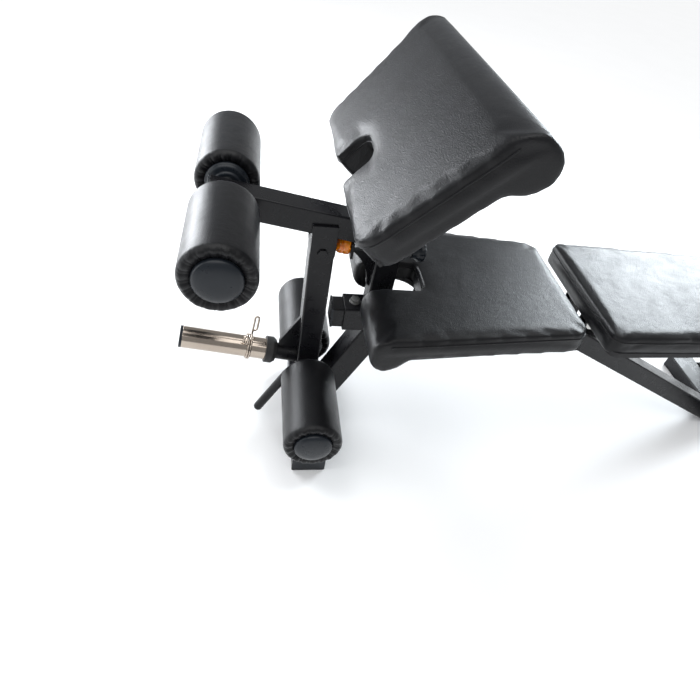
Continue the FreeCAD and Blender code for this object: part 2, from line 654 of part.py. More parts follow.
def pad_outline(x_a, half_a, x_b, half_b):
    return [(x_a, "-(%s)" % half_a), (x_b, "-(%s)" % half_b), (x_b, half_b), (x_a, half_a)]


def slot(name, x_from, x_end, wide, z_low, z_high):
    """A cutter for a U-shaped notch with a round inner end."""
    corners = pad_outline(x_from, "(%s) / 2" % wide, x_end, "(%s) / 2" % wide)
    return plan(name, corners, "(%s) - (%s)" % (z_high, z_low), z_low, "(%s) / 2 - roll_step" % wide)


SEAT_ROLL_X = "(seat_front + seat_roll)"
seat_slope = "((seat_front_width - seat_rear_width) / 2 / (seat_rear - %s))" % SEAT_ROLL_X


def seat_half(x):
    return "(seat_front_width / 2 - (%s - %s) * %s)" % (x, SEAT_ROLL_X, seat_slope)


board_front = SEAT_ROLL_X + " + board_inset"
board_corners = pad_outline(board_front, seat_half("(" + board_front + ")") + " - board_inset",
                            "seat_rear - board_inset", seat_half("seat_rear") + " - board_inset")
board_notch = slot("seat_board_notch", "seat_front - 2 * seat_roll", "seat_notch_end + board_inset",
                   "seat_notch_wide + 2 * board_inset",
                   PAD_LOW + " - cutter_lead", PAD_LOW + " + board_thick + cutter_lead")
RAIL_LOW = "(%s - rail_high)" % PAD_LOW
seat_screws = screws("seat_screws",
                     corners_of(("seat_rail_front + rail_wide", "seat_rear - 2 * rail_tie"), RAIL_MID),
                     RAIL_LOW, "rail_high")
node("seat_screws", seat_screws)
seat_blank = cut("seat_board_blank", plan("seat_board_sheet", board_corners, "board_thick", PAD_LOW),
                 board_notch)
node("seat_board", cut("seat_board", seat_blank, seat_screws))
node("seat_pad", soft_pad("seat_pad", pad_outline(SEAT_ROLL_X, seat_half(SEAT_ROLL_X), "seat_rear",
                                                  seat_half("seat_rear")),
                          "pad_thick", PAD_LOW, SEAT_ROLL_X, "seat_roll", "seat_front_width", seat_blank,
                          slot("seat_notch", "seat_front - 2 * seat_roll", "seat_notch_end",
                               "seat_notch_wide",
                               PAD_LOW + " - 2 * seat_roll", "seat_top + cutter_lead")))

back_corners = pad_outline("back_front", "back_front_width / 2", "back_front + back_length",
                           "back_head_width / 2")
back_board_corners = pad_outline("back_front + board_inset", "back_front_width / 2 - board_inset",
                                 "back_front + back_length - board_inset",
                                 "back_head_width / 2 - board_inset")
BACK_RAIL_END = "(back_front + back_length - 3 * rail_tie)"
BACK_TIE_X = "(back_pivot_x + sector_radius + sector_band)"
back_screws = screws("back_screws",
                     corners_of(("%s + rail_tie" % BACK_TIE_X, "%s - 2 * rail_tie" % BACK_RAIL_END),
                                RAIL_MID),
                     RAIL_LOW, "rail_high")
node("back_screws", back_screws)
back_blank = plan("back_board_blank", back_board_corners, "board_thick", PAD_LOW,
                  "pad_corner - board_inset")
node("back_board", cut("back_board", back_blank, back_screws))
node("back_pad", cut("back_pad", plan("back_cover", back_corners, "pad_thick", PAD_LOW, "pad_corner"),
                     back_blank))

# The arm-curl pad is drawn level, with its top at z = 0 and its low end at x = 0, then tilted.
curl_place = ("curl_x", "0", "curl_z")


def tilt(item):
    return put(item, curl_place, (0, 1, 0), "-curl_slope")


curl_low = "-curl_thick"
bracket_reach = "(curl_notch_deep + board_inset + bracket_lead)"
bracket_end = "(curl_length - curl_roll - bracket_lead)"
BRACKET_LOW = "(curl_thick + plate_thick)"
curl_screws = screws("curl_screws_level",
                     corners_of((bracket_reach + " + screw_inset", bracket_end + " - screw_inset"),
                                "(tube - screw_inset)"), "(-%s)" % BRACKET_LOW, "plate_thick")
curl_blank = cut("curl_board_blank",
                 plan("curl_board_sheet",
                      pad_outline("board_inset", "curl_low_width / 2 - board_inset",
                                  "curl_length - board_inset", "curl_high_width / 2 - 1.5 * board_inset"),
                      "board_thick", curl_low),
                 slot("curl_board_notch", "-curl_notch_wide", "curl_notch_deep + board_inset",
                      "curl_notch_wide + 2 * board_inset", curl_low + " - cutter_lead",
                      curl_low + " + board_thick + cutter_lead"))
curl_pad = soft_pad("curl_pad_level", pad_outline("0", "curl_low_width / 2", "curl_length",
                                                  "curl_high_width / 2"),
                    "curl_thick", curl_low, "curl_length", "curl_roll", "curl_high_width", curl_blank,
                    slot("curl_notch", "-curl_notch_wide", "curl_notch_deep", "curl_notch_wide",
                         curl_low + " - 2 * curl_roll", "cutter_lead"))
node("curl_pad", tilt(group("curl_pad", curl_pad)))
node("curl_board", tilt(group("curl_board", cut("curl_board_level", curl_blank, curl_screws))))
node("curl_screws", tilt(group("curl_screws", curl_screws)))

# ---------------------------------------------------------------- arm-curl post and bracket

inner_half = "(tube / 2 - post_wall - post_gap)"


def curl_underside_z(x, depth):
    """Height of the plane a given depth below the tilted pad's top, at x."""
    return "(curl_z + (%s - curl_x) * tan(curl_slope) - %s / cos(curl_slope))" % (x, depth)


def inner_post_outline(half):
    return [("post_x - " + half, SLEEVE_TOP + " + tube / 2"),
            ("post_x + " + half, SLEEVE_TOP + " + tube / 2"),
            ("post_x + " + half, curl_underside_z("post_x + " + half, BRACKET_LOW)),
            ("post_x - " + half, curl_underside_z("post_x - " + half, BRACKET_LOW))]


post_holes = [rod("curl_post_hole_%d" % (step + 1), "pin_radius + pin_gap", "3 * wall",
                  ("post_x + %s - 2 * wall" % inner_half, "0",
                   "pin_height + %d * curl_hole_step" % (step - 3)), "x")
              for step in range(5)]
node("curl_post", cut("curl_post",
                      hollow("curl_post_tube", inner_post_outline(inner_half),
                             inner_post_outline("(%s - wall)" % inner_half), "2 * " + inner_half, "wall",
                             "wall"),
                      *post_holes))
bracket_plate = cut("curl_bracket_level",
                    block("curl_bracket_plate", (bracket_reach, "-tube", "-" + BRACKET_LOW),
                          (bracket_end, "tube", curl_low)), curl_screws)
node("curl_bracket", tilt(group("curl_bracket", bracket_plate)))

# ---------------------------------------------------------------- seat and back rails


def rails(name, x_front, x_rear):
    """Two rectangular tubes under a board, one each side of the beam."""
    pair = []
    for label, side in (("left", 1), ("right", -1)):
        rail = hollow("%s_%s" % (name, label), rect(x_front, x_rear, PAD_LOW + " - rail_high", PAD_LOW),
                      rect(x_front, x_rear, PAD_LOW + " - rail_high + rail_wall",
                           PAD_LOW + " - rail_wall"),
                      "rail_wide", "rail_wall", "rail_wall")
        pair.append(shifted(rail, "%d * %s" % (side, RAIL_MID)))
    return pair


def across(name, radius, x, z, reach):
    """A round bar across the bench, reaching the same way out on both sides."""
    return rod(name, radius, "2 * (%s)" % reach, (x, "-(%s)" % reach, z), "y")


rail_outside = "(%s + rail_wide)" % RAIL_INNER
SEAT_RAIL_END = "(seat_bolt_rear_x + rail_high / 2)"
BACK_RAIL_FRONT = "(back_pivot_x - back_pivot_radius * 2)"
seat_rails = rails("seat_rail", "seat_rail_front", SEAT_RAIL_END)
seat_tie = block("seat_rail_tie", ("seat_rail_front + rail_tie", "-" + RAIL_INNER, RAIL_Z),
                 ("seat_rail_front + 2 * rail_tie", RAIL_INNER, PAD_LOW))
seat_bores = [across("seat_rails_bore_%d" % index, "seat_bolt_radius", x, RAIL_Z, rail_outside)
              for index, x in enumerate(("seat_bolt_front_x", "seat_bolt_rear_x"), 1)]
node("seat_rails", cut("seat_rails", join("seat_rails_blank", *seat_rails, seat_tie), *seat_bores,
                       seat_screws))
back_rails = rails("back_rail", BACK_RAIL_FRONT, BACK_RAIL_END)
back_ties = [block("back_rail_tie_%d" % index, (x + " - rail_tie", "-" + RAIL_INNER, RAIL_Z),
                   (x, RAIL_INNER, PAD_LOW))
             for index, x in enumerate((BACK_TIE_X, BACK_RAIL_END), 1)]
node("back_rails", cut("back_rails", join("back_rails_blank", *back_rails, *back_ties), back_screws,
                       across("back_rails_bore", "back_pivot_radius + axle_gap", "back_pivot_x", RAIL_Z,
                              rail_outside)))

# ---------------------------------------------------------------- hinge lugs and pins


def spine_z(x):
    return "(beam_z - (%s - beam_end) * tan(spine_slope))" % x


def ear_pair(name, feet, bore_radius, x, z):
    """Two round-headed plates, one on each side face of the beam, with a common bore."""
    head = "rail_high / 2 - lug_drop"
    corners = feet + [("%s + %s" % (x, head), z), ("%s - (%s)" % (x, head), z)]
    ears = []
    for label, side in (("left", 1), ("right", -1)):
        plate = profile("%s_%s_plate" % (name, label), corners, "lug_plate")
        shifted(plate, "%d * (tube / 2 + lug_plate / 2)" % side)
        inner = "tube / 2" if side > 0 else "-tube / 2 - lug_plate"
        round_end = rod("%s_%s_head" % (name, label), head, "lug_plate", (x, inner, z), "y")
        ears.append(cut("%s_%s" % (name, label), join("%s_%s_blank" % (name, label), plate, round_end),
                        across("%s_%s_bore" % (name, label), bore_radius, x, z, "tube")))
    return ears


seat_ears = []
for label, x in (("front", "seat_bolt_front_x"), ("rear", "seat_bolt_rear_x")):
    feet = [(x + " - lug_foot", BEAM_LOW), (x + " + lug_foot", BEAM_LOW)]
    seat_ears += ear_pair("seat_ear_" + label, feet, "seat_bolt_radius", x, RAIL_Z)
back_feet = [(x, spine_z("(%s)" % x) + " - tube / 2")
             for x in ("back_pivot_x - lug_foot", "back_pivot_x + lug_foot")]
back_ears = ear_pair("back_ear", back_feet, "back_pivot_radius", "back_pivot_x", RAIL_Z)
node("hinge_lugs", group("hinge_lugs", *seat_ears, *back_ears))


def hinge_pin(name, radius, x):
    """A pin through the ears and both rails, with a head at each end."""
    reach = rail_outside + " + pin_reach"
    return join(name, across(name + "_shank", radius, x, RAIL_Z, reach),
                rod(name + "_head_right", radius + " * 1.7", "pin_head",
                    (x, "-(%s) - pin_head" % reach, RAIL_Z), "y"),
                rod(name + "_head_left", radius + " * 1.7", "pin_head", (x, reach, RAIL_Z), "y"))


node("seat_bolts",
     group("seat_bolts", hinge_pin("seat_bolt_front", "seat_bolt_radius", "seat_bolt_front_x"),
                         hinge_pin("seat_bolt_rear", "seat_bolt_radius", "seat_bolt_rear_x")))
node("back_hinge_pin", hinge_pin("back_hinge_pin", "back_pivot_radius", "back_pivot_x"))

# ---------------------------------------------------------------- backrest sector and its lock

sector_outer = "(sector_radius + sector_band)"
sector_low_y = "(sector_y - sector_thick / 2)"


def slice_of(name, radius, from_angle, to_angle, thick, y_low):
    """A pie slice about the back pivot, between two angles below the +X direction."""
    item = doc.addObject("Part::Cylinder", name)
    bind(item, "Radius", radius)
    bind(item, "Height", thick)
    item.Angle = to_angle - from_angle
    turn = FreeCAD.Rotation(Vector(0, 1, 0), from_angle) * FreeCAD.Rotation(Vector(1, 0, 0), -90)
    item.Placement = FreeCAD.Placement(Vector(), turn)
    for axis, text in zip("xyz", ("back_pivot_x", y_low, RAIL_Z)):
        bind(item, "Placement.Base." + axis, text)
    return item


SECTOR_FROM = 0
SECTOR_TO = 106
WINDOW_LEAD = 22
WINDOW_TRAIL = 10
sector_holes = [rod("back_sector_hole_%d" % (step + 1), "pin_radius + pin_gap", "2 * sector_thick",
                    ("back_pivot_x + sector_radius * cos(sector_first + %d * sector_step)" % step,
                     sector_low_y + " - sector_thick / 2",
                     "%s - sector_radius * sin(sector_first + %d * sector_step)" % (RAIL_Z, step)), "y")
                for step in range(6)]
sector_trim = block("back_sector_trim", ("back_pivot_x - 2 * sector_radius", "2 * sector_y", RAIL_LOW),
                    ("back_pivot_x + 2 * sector_radius", "0", "seat_top"))
back_sector = cut(
    "back_sector_right",
    slice_of("back_sector_blank", sector_outer, SECTOR_FROM, SECTOR_TO, "sector_thick", sector_low_y),
    cut("back_sector_window",
        slice_of("back_sector_window_slice", "sector_radius - sector_band", SECTOR_FROM + WINDOW_LEAD,
                 SECTOR_TO - WINDOW_TRAIL, "sector_thick", sector_low_y),
        rod("back_sector_window_core", "sector_radius / 3", "sector_thick",
            ("back_pivot_x", sector_low_y, RAIL_Z), "y")),
    sector_trim, *sector_holes)
node("back_sector", mirrored("back_sector", back_sector))

LOCK_X = "(back_pivot_x + sector_radius * cos(sector_first))"
LOCK_Z = "(%s - sector_radius * sin(sector_first))" % RAIL_Z
ear_near = "(sector_y + sector_thick / 2 + lock_gap)"
ear_far = "(sector_y - sector_thick / 2 - lock_gap - plate_thick)"
lock_top = RAIL_LOW + " - lock_gap - lug_drop"
lock_outline = [(LOCK_X + " - lock_x_half", spine_z("(%s - lock_x_half)" % LOCK_X) + " - tube / 4"),
                (LOCK_X + " + lock_x_half", spine_z("(%s + lock_x_half)" % LOCK_X) + " - tube / 4"),
                (LOCK_X + " + lock_top_half", lock_top), (LOCK_X + " - lock_top_half", lock_top)]
lock_ears = []
for label, y_low in (("inner", ear_near), ("outer", ear_far)):
    plate = profile("back_lock_%s" % label, lock_outline, "plate_thick")
    lock_ears.append(shifted(plate, "%s + plate_thick / 2" % y_low))
lock_base = block("back_lock_base",
                  (LOCK_X + " - lock_x_half * 3 / 4", ear_far, spine_z(LOCK_X) + " - tube / 6"),
                  (LOCK_X + " + lock_top_half", "-tube / 2", spine_z(LOCK_X) + " + tube / 8"))
back_lock = cut("back_lock_right", join("back_lock_blank", *lock_ears, lock_base),
                rod("back_lock_bore", "pin_radius + pin_gap", "tube", (LOCK_X, "-1.5 * tube", LOCK_Z), "y"))
node("back_lock", mirrored("back_lock", back_lock))

# ---------------------------------------------------------------- pull pins


def pull_pin(prefix, place, wall_outside, stand, along, barrel_name):
    """A sprung pull pin: a barrel on the wall, a pin through it and a knob on the pin.

    The pin's nose stops just inside the wall, clear of the piece that it locks.
    """
    axis = {"x": (1, 0, 0), "-y": (0, -1, 0)}[along]
    turn = {"x": ((0, 1, 0), 90), "-y": ((1, 0, 0), 90)}[along]

    def part(name, radius, length, distance):
        item = doc.addObject("Part::Cylinder", name)
        bind(item, "Radius", radius)
        bind(item, "Height", length)
        start = tuple("%s + %d * (%s)" % (text, sign, distance) for text, sign in zip(place, axis))
        return put(item, start, *turn)

    barrel = cut(barrel_name,
                 join(prefix + "_barrel_blank",
                      part(prefix + "_thread", "barrel_radius", "barrel_length", wall_outside),
                      part(prefix + "_barrel_nut", "barrel_radius * 1.5", "barrel_length / 3", wall_outside)),
                 part(prefix + "_barrel_bore", "pin_radius + pin_gap", "barrel_length", wall_outside))
    pin = part(prefix + "_shank", "pin_radius", "%s + barrel_length + knob_length" % stand,
               "(%s) - (%s)" % (wall_outside, stand))
    knob_start = "(%s) + barrel_length + pin_travel / 2" % wall_outside
    knob = cut(prefix + "_knob_body",
               part(prefix + "_knob_blank", "knob_radius", "knob_length", knob_start),
               part(prefix + "_knob_socket", "barrel_radius + lug_drop", "pin_travel * 1.5", knob_start))
    return barrel, pin, knob


barrel, pin, knob = pull_pin("height_pin", ("post_x", "0", "pin_height"), "tube / 2",
                             "post_wall + post_gap - pin_gap", "x", "height_pin_barrel")
node("height_pin_barrel", barrel)
node("height_pin", pin)
node("height_knob", cut("height_knob", knob, pin))
barrel, pin, knob = pull_pin("back_pin", (LOCK_X, "0", LOCK_Z), "-(%s)" % ear_far,
                             "plate_thick + lock_gap - pin_gap", "-y", "back_barrel_right")
node("back_pin_barrel", mirrored("back_pin_barrel", barrel))
node("back_pin", mirrored("back_pin", join("back_pin_right", pin, knob)))

# ---------------------------------------------------------------- transport wheels

wheel_x = "(%s + foot_wide / 2 + wheel_radius + wheel_gap)" % REAR_FOOT_X
wheel_z = "(wheel_radius + wheel_lift)"
foot_face = "%s + foot_wide / 2" % REAR_FOOT_X
brackets = []
for label, side in (("left", 1), ("right", -1)):
    centre = "%d * (rear_foot_length / 2 - wheel_inset)" % side
    inner = "(%s) - wheel_wide / 2 - fork_gap - plate_thick" % centre
    outer = "(%s) + wheel_wide / 2 + fork_gap" % centre
    plates = [block("wheel_fork_%s_%d" % (label, index), (foot_face, low, wheel_z + " - fork_low"),
                    (wheel_x + " + fork_end", "%s + plate_thick" % low, wheel_z + " + fork_high"))
              for index, low in enumerate((inner, outer), 1)]
    bolt = rod("wheel_bolt_%s" % label, "wheel_bolt_radius", "wheel_wide + 2 * (plate_thick + fork_gap)",
               (wheel_x, inner, wheel_z), "y")
    brackets.append(join("wheel_bracket_%s" % label, *plates, bolt))
    side_face = "(%s) - wheel_wide / 2" % centre
    tyre = rod("wheel_%s_blank" % label, "wheel_radius", "wheel_wide", (wheel_x, side_face, wheel_z), "y")
    bore = rod("wheel_%s_bore" % label, "wheel_bolt_radius + axle_gap", "wheel_wide",
               (wheel_x, side_face, wheel_z), "y")
    node("wheel_%s" % label, cut("wheel_%s" % label, tyre, bore))
node("wheel_brackets", group("wheel_brackets", *brackets))

# ---------------------------------------------------------------- check and export

doc.recompute()
faults = [item.Name for item in doc.Objects if "Invalid" in item.State or "Error" in item.State]
faults += [name for name, item in nodes.items() if item.Shape.isNull() or not item.Shape.isValid()
           or not item.Shape.Solids]
if faults:
    raise RuntimeError("these pieces did not build: " + ", ".join(faults))
os.makedirs("parts", exist_ok=True)
for name, item in nodes.items():
    item.Shape.exportStep("parts/%s.step" % name)
print(len(nodes), "sub-parts written")
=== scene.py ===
import json
import math
import random

import bmesh
import bpy
from mathutils import Matrix, Vector
from mathutils.bvhtree import BVHTree


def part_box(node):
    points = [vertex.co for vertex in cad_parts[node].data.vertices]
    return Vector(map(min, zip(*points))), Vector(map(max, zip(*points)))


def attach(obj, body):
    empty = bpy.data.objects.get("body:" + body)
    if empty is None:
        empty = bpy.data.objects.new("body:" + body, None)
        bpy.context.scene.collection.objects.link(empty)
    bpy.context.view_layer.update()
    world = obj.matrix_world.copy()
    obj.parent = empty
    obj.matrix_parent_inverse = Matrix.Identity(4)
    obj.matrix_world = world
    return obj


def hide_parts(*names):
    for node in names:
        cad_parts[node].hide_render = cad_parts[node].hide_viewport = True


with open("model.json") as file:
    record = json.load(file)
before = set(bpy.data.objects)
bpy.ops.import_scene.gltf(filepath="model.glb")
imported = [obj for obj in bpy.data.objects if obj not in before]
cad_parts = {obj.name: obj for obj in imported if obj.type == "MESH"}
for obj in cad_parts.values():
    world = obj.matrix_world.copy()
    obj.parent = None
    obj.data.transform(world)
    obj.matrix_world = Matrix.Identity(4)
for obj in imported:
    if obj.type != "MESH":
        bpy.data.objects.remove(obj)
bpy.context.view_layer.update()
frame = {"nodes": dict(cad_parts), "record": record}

nodes = frame["nodes"]
slot_of = {row["node"]: row["material_slot"] for row in frame["record"]["subparts"]}
body_of = {node: body for body, members in frame["record"]["behaviour"]["bodies"].items()
           for node in members}
scene = bpy.context.scene


# ---------------------------------------------------------------- materials

def new_material(name, colour, rough, metal=0.0):
    """A Principled material; returns it with its tree and shader."""
    made = bpy.data.materials.new(name)
    made.use_nodes = True
    shader = made.node_tree.nodes["Principled BSDF"]
    shader.inputs["Base Color"].default_value = (*colour, 1)
    shader.inputs["Roughness"].default_value = rough
    shader.inputs["Metallic"].default_value = metal
    return made, made.node_tree, shader


def place_of(tree, stretch=(1, 1, 1)):
    """Object coordinates, stretched along the axes."""
    place = tree.nodes.new("ShaderNodeTexCoord")
    mapping = tree.nodes.new("ShaderNodeMapping")
    mapping.inputs["Scale"].default_value = stretch
    tree.links.new(place.outputs["Object"], mapping.inputs["Vector"])
    return mapping.outputs["Vector"]


def noise(tree, place, scale, detail=3.0, rough=0.55):
    """Soft clouds from 0 to 1."""
    made = tree.nodes.new("ShaderNodeTexNoise")
    made.inputs["Scale"].default_value = scale
    made.inputs["Detail"].default_value = detail
    made.inputs["Roughness"].default_value = rough
    tree.links.new(place, made.inputs["Vector"])
    return made.outputs["Fac"]


def spread(tree, value, low, high, to_low, to_high):
    """Map the middle of a pattern's range onto another range."""
    made = tree.nodes.new("ShaderNodeMapRange")
    for socket, number in (("From Min", low), ("From Max", high), ("To Min", to_low), ("To Max", to_high)):
        made.inputs[socket].default_value = number
    tree.links.new(value, made.inputs["Value"])
    return made.outputs["Result"]


def tint(tree, value, dark, light):
    """Two colours mixed by a pattern."""
    made = tree.nodes.new("ShaderNodeMix")
    made.data_type = "RGBA"
    made.inputs["A"].default_value = (*dark, 1)
    made.inputs["B"].default_value = (*light, 1)
    tree.links.new(value, made.inputs["Factor"])
    return made.outputs["Result"]


def bump(tree, value, height, strength=1.0, under=None):
    """Normals raised by a pattern, on top of other normals if there are any."""
    made = tree.nodes.new("ShaderNodeBump")
    made.inputs["Strength"].default_value = strength
    made.inputs["Distance"].default_value = height
    tree.links.new(value, made.inputs["Height"])
    if under is not None:
        tree.links.new(under, made.inputs["Normal"])
    return made.outputs["Normal"]


def soft_edges(tree, radius):
    """Normals that round the sharp edges of a hard piece."""
    made = tree.nodes.new("ShaderNodeBevel")
    made.samples = 4
    made.inputs["Radius"].default_value = radius
    return made.outputs["Normal"]


def hard_finish(name, dark, light, rough, grain, height, metal=0.0, edge=0.0012, stretch=(1, 1, 1),
                wear=0.06, shine=0.5):
    """A hard surface: colour and roughness vary slowly, a fine grain is raised, and edges are soft."""
    made, tree, shader = new_material(name, light, rough, metal)
    shader.inputs["Specular IOR Level"].default_value = shine
    place = place_of(tree, stretch)
    cloud = noise(tree, place, 14.0)
    tree.links.new(tint(tree, cloud, dark, light), shader.inputs["Base Color"])
    tree.links.new(spread(tree, noise(tree, place, 55.0, 5.0), 0.3, 0.7, rough - wear, rough + wear),
                   shader.inputs["Roughness"])
    grains = noise(tree, place, grain, 2.0)
    tree.links.new(bump(tree, grains, height, 1.0, soft_edges(tree, edge)), shader.inputs["Normal"])
    return made


def vinyl():
    """Black upholstery vinyl: pebbled grain, faint creases and a soft cool sheen."""
    made, tree, shader = new_material("black_vinyl", (0.01, 0.01, 0.011), 0.4)
    place = place_of(tree)
    cloud = noise(tree, place, 9.0, 4.0)
    tree.links.new(tint(tree, cloud, (0.003, 0.003, 0.0035), (0.008, 0.008, 0.0095)),
                   shader.inputs["Base Color"])
    patches = noise(tree, place, 26.0, 6.0)
    tree.links.new(spread(tree, patches, 0.3, 0.7, 0.28, 0.4), shader.inputs["Roughness"])
    pebble = tree.nodes.new("ShaderNodeTexVoronoi")
    pebble.feature = "SMOOTH_F1"
    pebble.inputs["Scale"].default_value = 620.0
    pebble.inputs["Smoothness"].default_value = 0.6
    tree.links.new(place, pebble.inputs["Vector"])
    creases = bump(tree, noise(tree, place, 70.0, 7.0, 0.62), 0.0008, 0.6)
    tree.links.new(bump(tree, pebble.outputs["Distance"], 0.0004, 0.8, creases), shader.inputs["Normal"])
    shader.inputs["Sheen Weight"].default_value = 0.03
    shader.inputs["Sheen Roughness"].default_value = 0.45
    shader.inputs["Sheen Tint"].default_value = (0.8, 0.88, 1.0, 1)
    shader.inputs["Specular IOR Level"].default_value = 0.26
    return made


def amber():
    """Cast polyurethane: clear orange with faint clouds inside."""
    made, tree, shader = new_material("amber_urethane", (0.95, 0.34, 0.02), 0.16)
    place = place_of(tree)
    tree.links.new(tint(tree, noise(tree, place, 60.0), (0.8, 0.16, 0.0), (1.0, 0.36, 0.02)),
                   shader.inputs["Base Color"])
    tree.links.new(bump(tree, noise(tree, place, 240.0), 0.0002, 0.4), shader.inputs["Normal"])
    shader.inputs["Transmission Weight"].default_value = 0.3
    shader.inputs["Subsurface Weight"].default_value = 0.45
    shader.inputs["Subsurface Radius"].default_value = (0.02, 0.008, 0.002)
    shader.inputs["Coat Weight"].default_value = 0.5
    return made


def backing_cloth():
    """The black cloth stapled over the pads' boards: a fine woven bump."""
    made, tree, shader = new_material("backing_cloth", (0.02, 0.02, 0.022), 0.86)
    place = place_of(tree)
    tree.links.new(tint(tree, noise(tree, place, 40.0, 5.0), (0.012, 0.012, 0.013), (0.03, 0.03, 0.032)),
                   shader.inputs["Base Color"])
    weave = tree.nodes.new("ShaderNodeTexWave")
    weave.inputs["Scale"].default_value = 420.0
    weave.inputs["Distortion"].default_value = 1.5
    tree.links.new(place, weave.inputs["Vector"])
    tree.links.new(bump(tree, weave.outputs["Fac"], 0.0002, 0.5), shader.inputs["Normal"])
    return made


looks = {
    "black_frame": hard_finish("powder_coat", (0.004, 0.004, 0.005), (0.009, 0.009, 0.011), 0.3, 1100.0,
                               0.00006, shine=0.26),
    "steel": hard_finish("zinc_plate", (0.42, 0.42, 0.41), (0.62, 0.62, 0.6), 0.32, 500.0, 0.00003, 1.0,
                         stretch=(1, 3, 1)),
    "chrome": hard_finish("polished_chrome", (0.36, 0.3, 0.25), (0.55, 0.48, 0.41), 0.16, 160.0, 0.00001, 1.0,
                          wear=0.05),
    "plastic": hard_finish("moulded_plastic", (0.006, 0.008, 0.011), (0.013, 0.017, 0.023), 0.3, 800.0,
                           0.00007, shine=0.32),
    "rubber": hard_finish("wheel_rubber", (0.012, 0.012, 0.012), (0.028, 0.028, 0.028), 0.6, 500.0, 0.00012),
    "vinyl": vinyl(),
    "board": backing_cloth(),
    "amber": amber(),
}


def dress(piece, slot):
    """Give a piece one of the record's finishes."""
    piece.data.materials.clear()
    piece.data.materials.append(looks[slot])
    return piece


for name, piece in nodes.items():
    dress(piece, slot_of[name])


# ---------------------------------------------------------------- mesh helpers

def new_piece(name, mesh, slot, body, stands_for):
    """A finished mesh that rides on a body in place of CAD nodes."""
    piece = bpy.data.objects.new(name, mesh)
    scene.collection.objects.link(piece)
    dress(piece, slot)
    for face in mesh.polygons:
        face.use_smooth = True
    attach(piece, body)
    if stands_for:
        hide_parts(*stands_for)
    return piece


def rounded(corners, radii, steps=7):
    """A plan outline with each corner drawn as an arc of its own radius."""
    drawn = []
    count = len(corners)
    for index, radius in enumerate(radii):
        here = Vector(corners[index])
        back = (Vector(corners[index - 1]) - here)
        on = (Vector(corners[(index + 1) % count]) - here)
        half = back.angle(on) / 2
        reach = min(radius / math.tan(half), back.length * 0.499, on.length * 0.499)
        radius = reach * math.tan(half)
        back.normalize()
        on.normalize()
        centre = here + (back + on).normalized() * (radius / math.sin(half))
        first = here + back * reach - centre
        last = here + on * reach - centre
        sweep = first.angle_signed(last)
        for step in range(steps + 1):
            turn = -sweep * step / steps
            drawn.append((centre.x + first.x * math.cos(turn) - first.y * math.sin(turn),
                          centre.y + first.x * math.sin(turn) + first.y * math.cos(turn)))
    return drawn


def prism(name, outline, low, high, lay):
    """An outline swept between two levels; lay turns (a, b, level) into a point."""
    shape = bmesh.new()
    rings = [[shape.verts.new(lay(a, b, level)) for a, b in outline] for level in (low, high)]
    count = len(outline)
    for index in range(count):
        after = (index + 1) % count
        shape.faces.new((rings[0][index], rings[0][after], rings[1][after], rings[1][index]))
    for ring in rings:
        shape.faces.new(ring)
    bmesh.ops.recalc_face_normals(shape, faces=shape.faces)
    mesh = bpy.data.meshes.new(name)
    shape.to_mesh(mesh)
    shape.free()
    piece = bpy.data.objects.new(name, mesh)
    scene.collection.objects.link(piece)
    return piece


def apply_modifiers(piece):
    """Replace a piece's mesh with the one its modifiers make."""
    bpy.context.view_layer.update()
    made = bpy.data.meshes.new_from_object(piece.evaluated_get(bpy.context.evaluated_depsgraph_get()))
    piece.modifiers.clear()
    piece.data = made


def blur(piece, rounds, share=0.5):
    """Round a mesh's edges by drawing each point towards its neighbours."""
    softening = piece.modifiers.new("soften", "SMOOTH")
    softening.factor = share
    softening.iterations = rounds
    apply_modifiers(piece)


def tube(name, path, radius, closed, sides=8):
    """A round bead or wire along a path, as a mesh; a closed path lies nearly level."""
    mesh = bpy.data.meshes.new(name)
    verts, faces = [], []
    count = len(path)
    side = (path[1] - path[0]).orthogonal()
    for index, point in enumerate(path):
        before = path[index - 1] if closed or index else point
        after = path[(index + 1) % count] if closed or index < count - 1 else point
        along = (after - before).normalized()
        side = along.cross(Vector((0, 0, 1))) if closed else side - along * side.dot(along)
        side.normalize()
        up = side.cross(along)
        for step in range(sides):
            turn = 2 * math.pi * step / sides
            verts.append(point + side * (radius * math.cos(turn)) + up * (radius * math.sin(turn)))
    for index in range(count if closed else count - 1):
        for step in range(sides):
            near, far = index * sides, (index + 1) % count * sides
            after = (step + 1) % sides
            faces.append((near + step, near + after, far + after, far + step))
    if not closed:
        faces += [tuple(range(sides)), tuple(range((count - 1) * sides, count * sides))]
    mesh.from_pydata(verts, [], faces)
    return mesh


def lathe(name, profile, centre, axis, steps, wave=None):
    """A turned mesh: the profile is (distance along the axis, radius), closed on itself or on the axis.

    wave(distance, radius, turn) may move a point of the profile at that turn.
    """
    axis = Vector(axis).normalized()
    side = axis.orthogonal().normalized()
    up = axis.cross(side)
    shape = bmesh.new()
    rings = []
    for distance, radius in profile:
        if radius < 1e-6:
            rings.append([shape.verts.new(centre + axis * distance)])
            continue
        ring = []
        for step in range(steps):
            turn = 2 * math.pi * step / steps
            d, r = wave(distance, radius, turn) if wave else (distance, radius)
            spoke = side * math.cos(turn) + up * math.sin(turn)
            ring.append(shape.verts.new(centre + axis * d + spoke * r))
        rings.append(ring)
    pairs = list(zip(rings, rings[1:]))
    if len(rings[0]) > 1 and len(rings[-1]) > 1:
        pairs.append((rings[-1], rings[0]))
    for one, two in pairs:
        for step in range(steps):
            after = (step + 1) % steps
            corners = ([one[0]] if len(one) == 1 else [one[step], one[after]]) + (
                [two[0]] if len(two) == 1 else [two[after], two[step]])
            shape.faces.new(corners)
    bmesh.ops.recalc_face_normals(shape, faces=shape.faces)
    mesh = bpy.data.meshes.new(name)
    shape.to_mesh(mesh)
    shape.free()
    return mesh


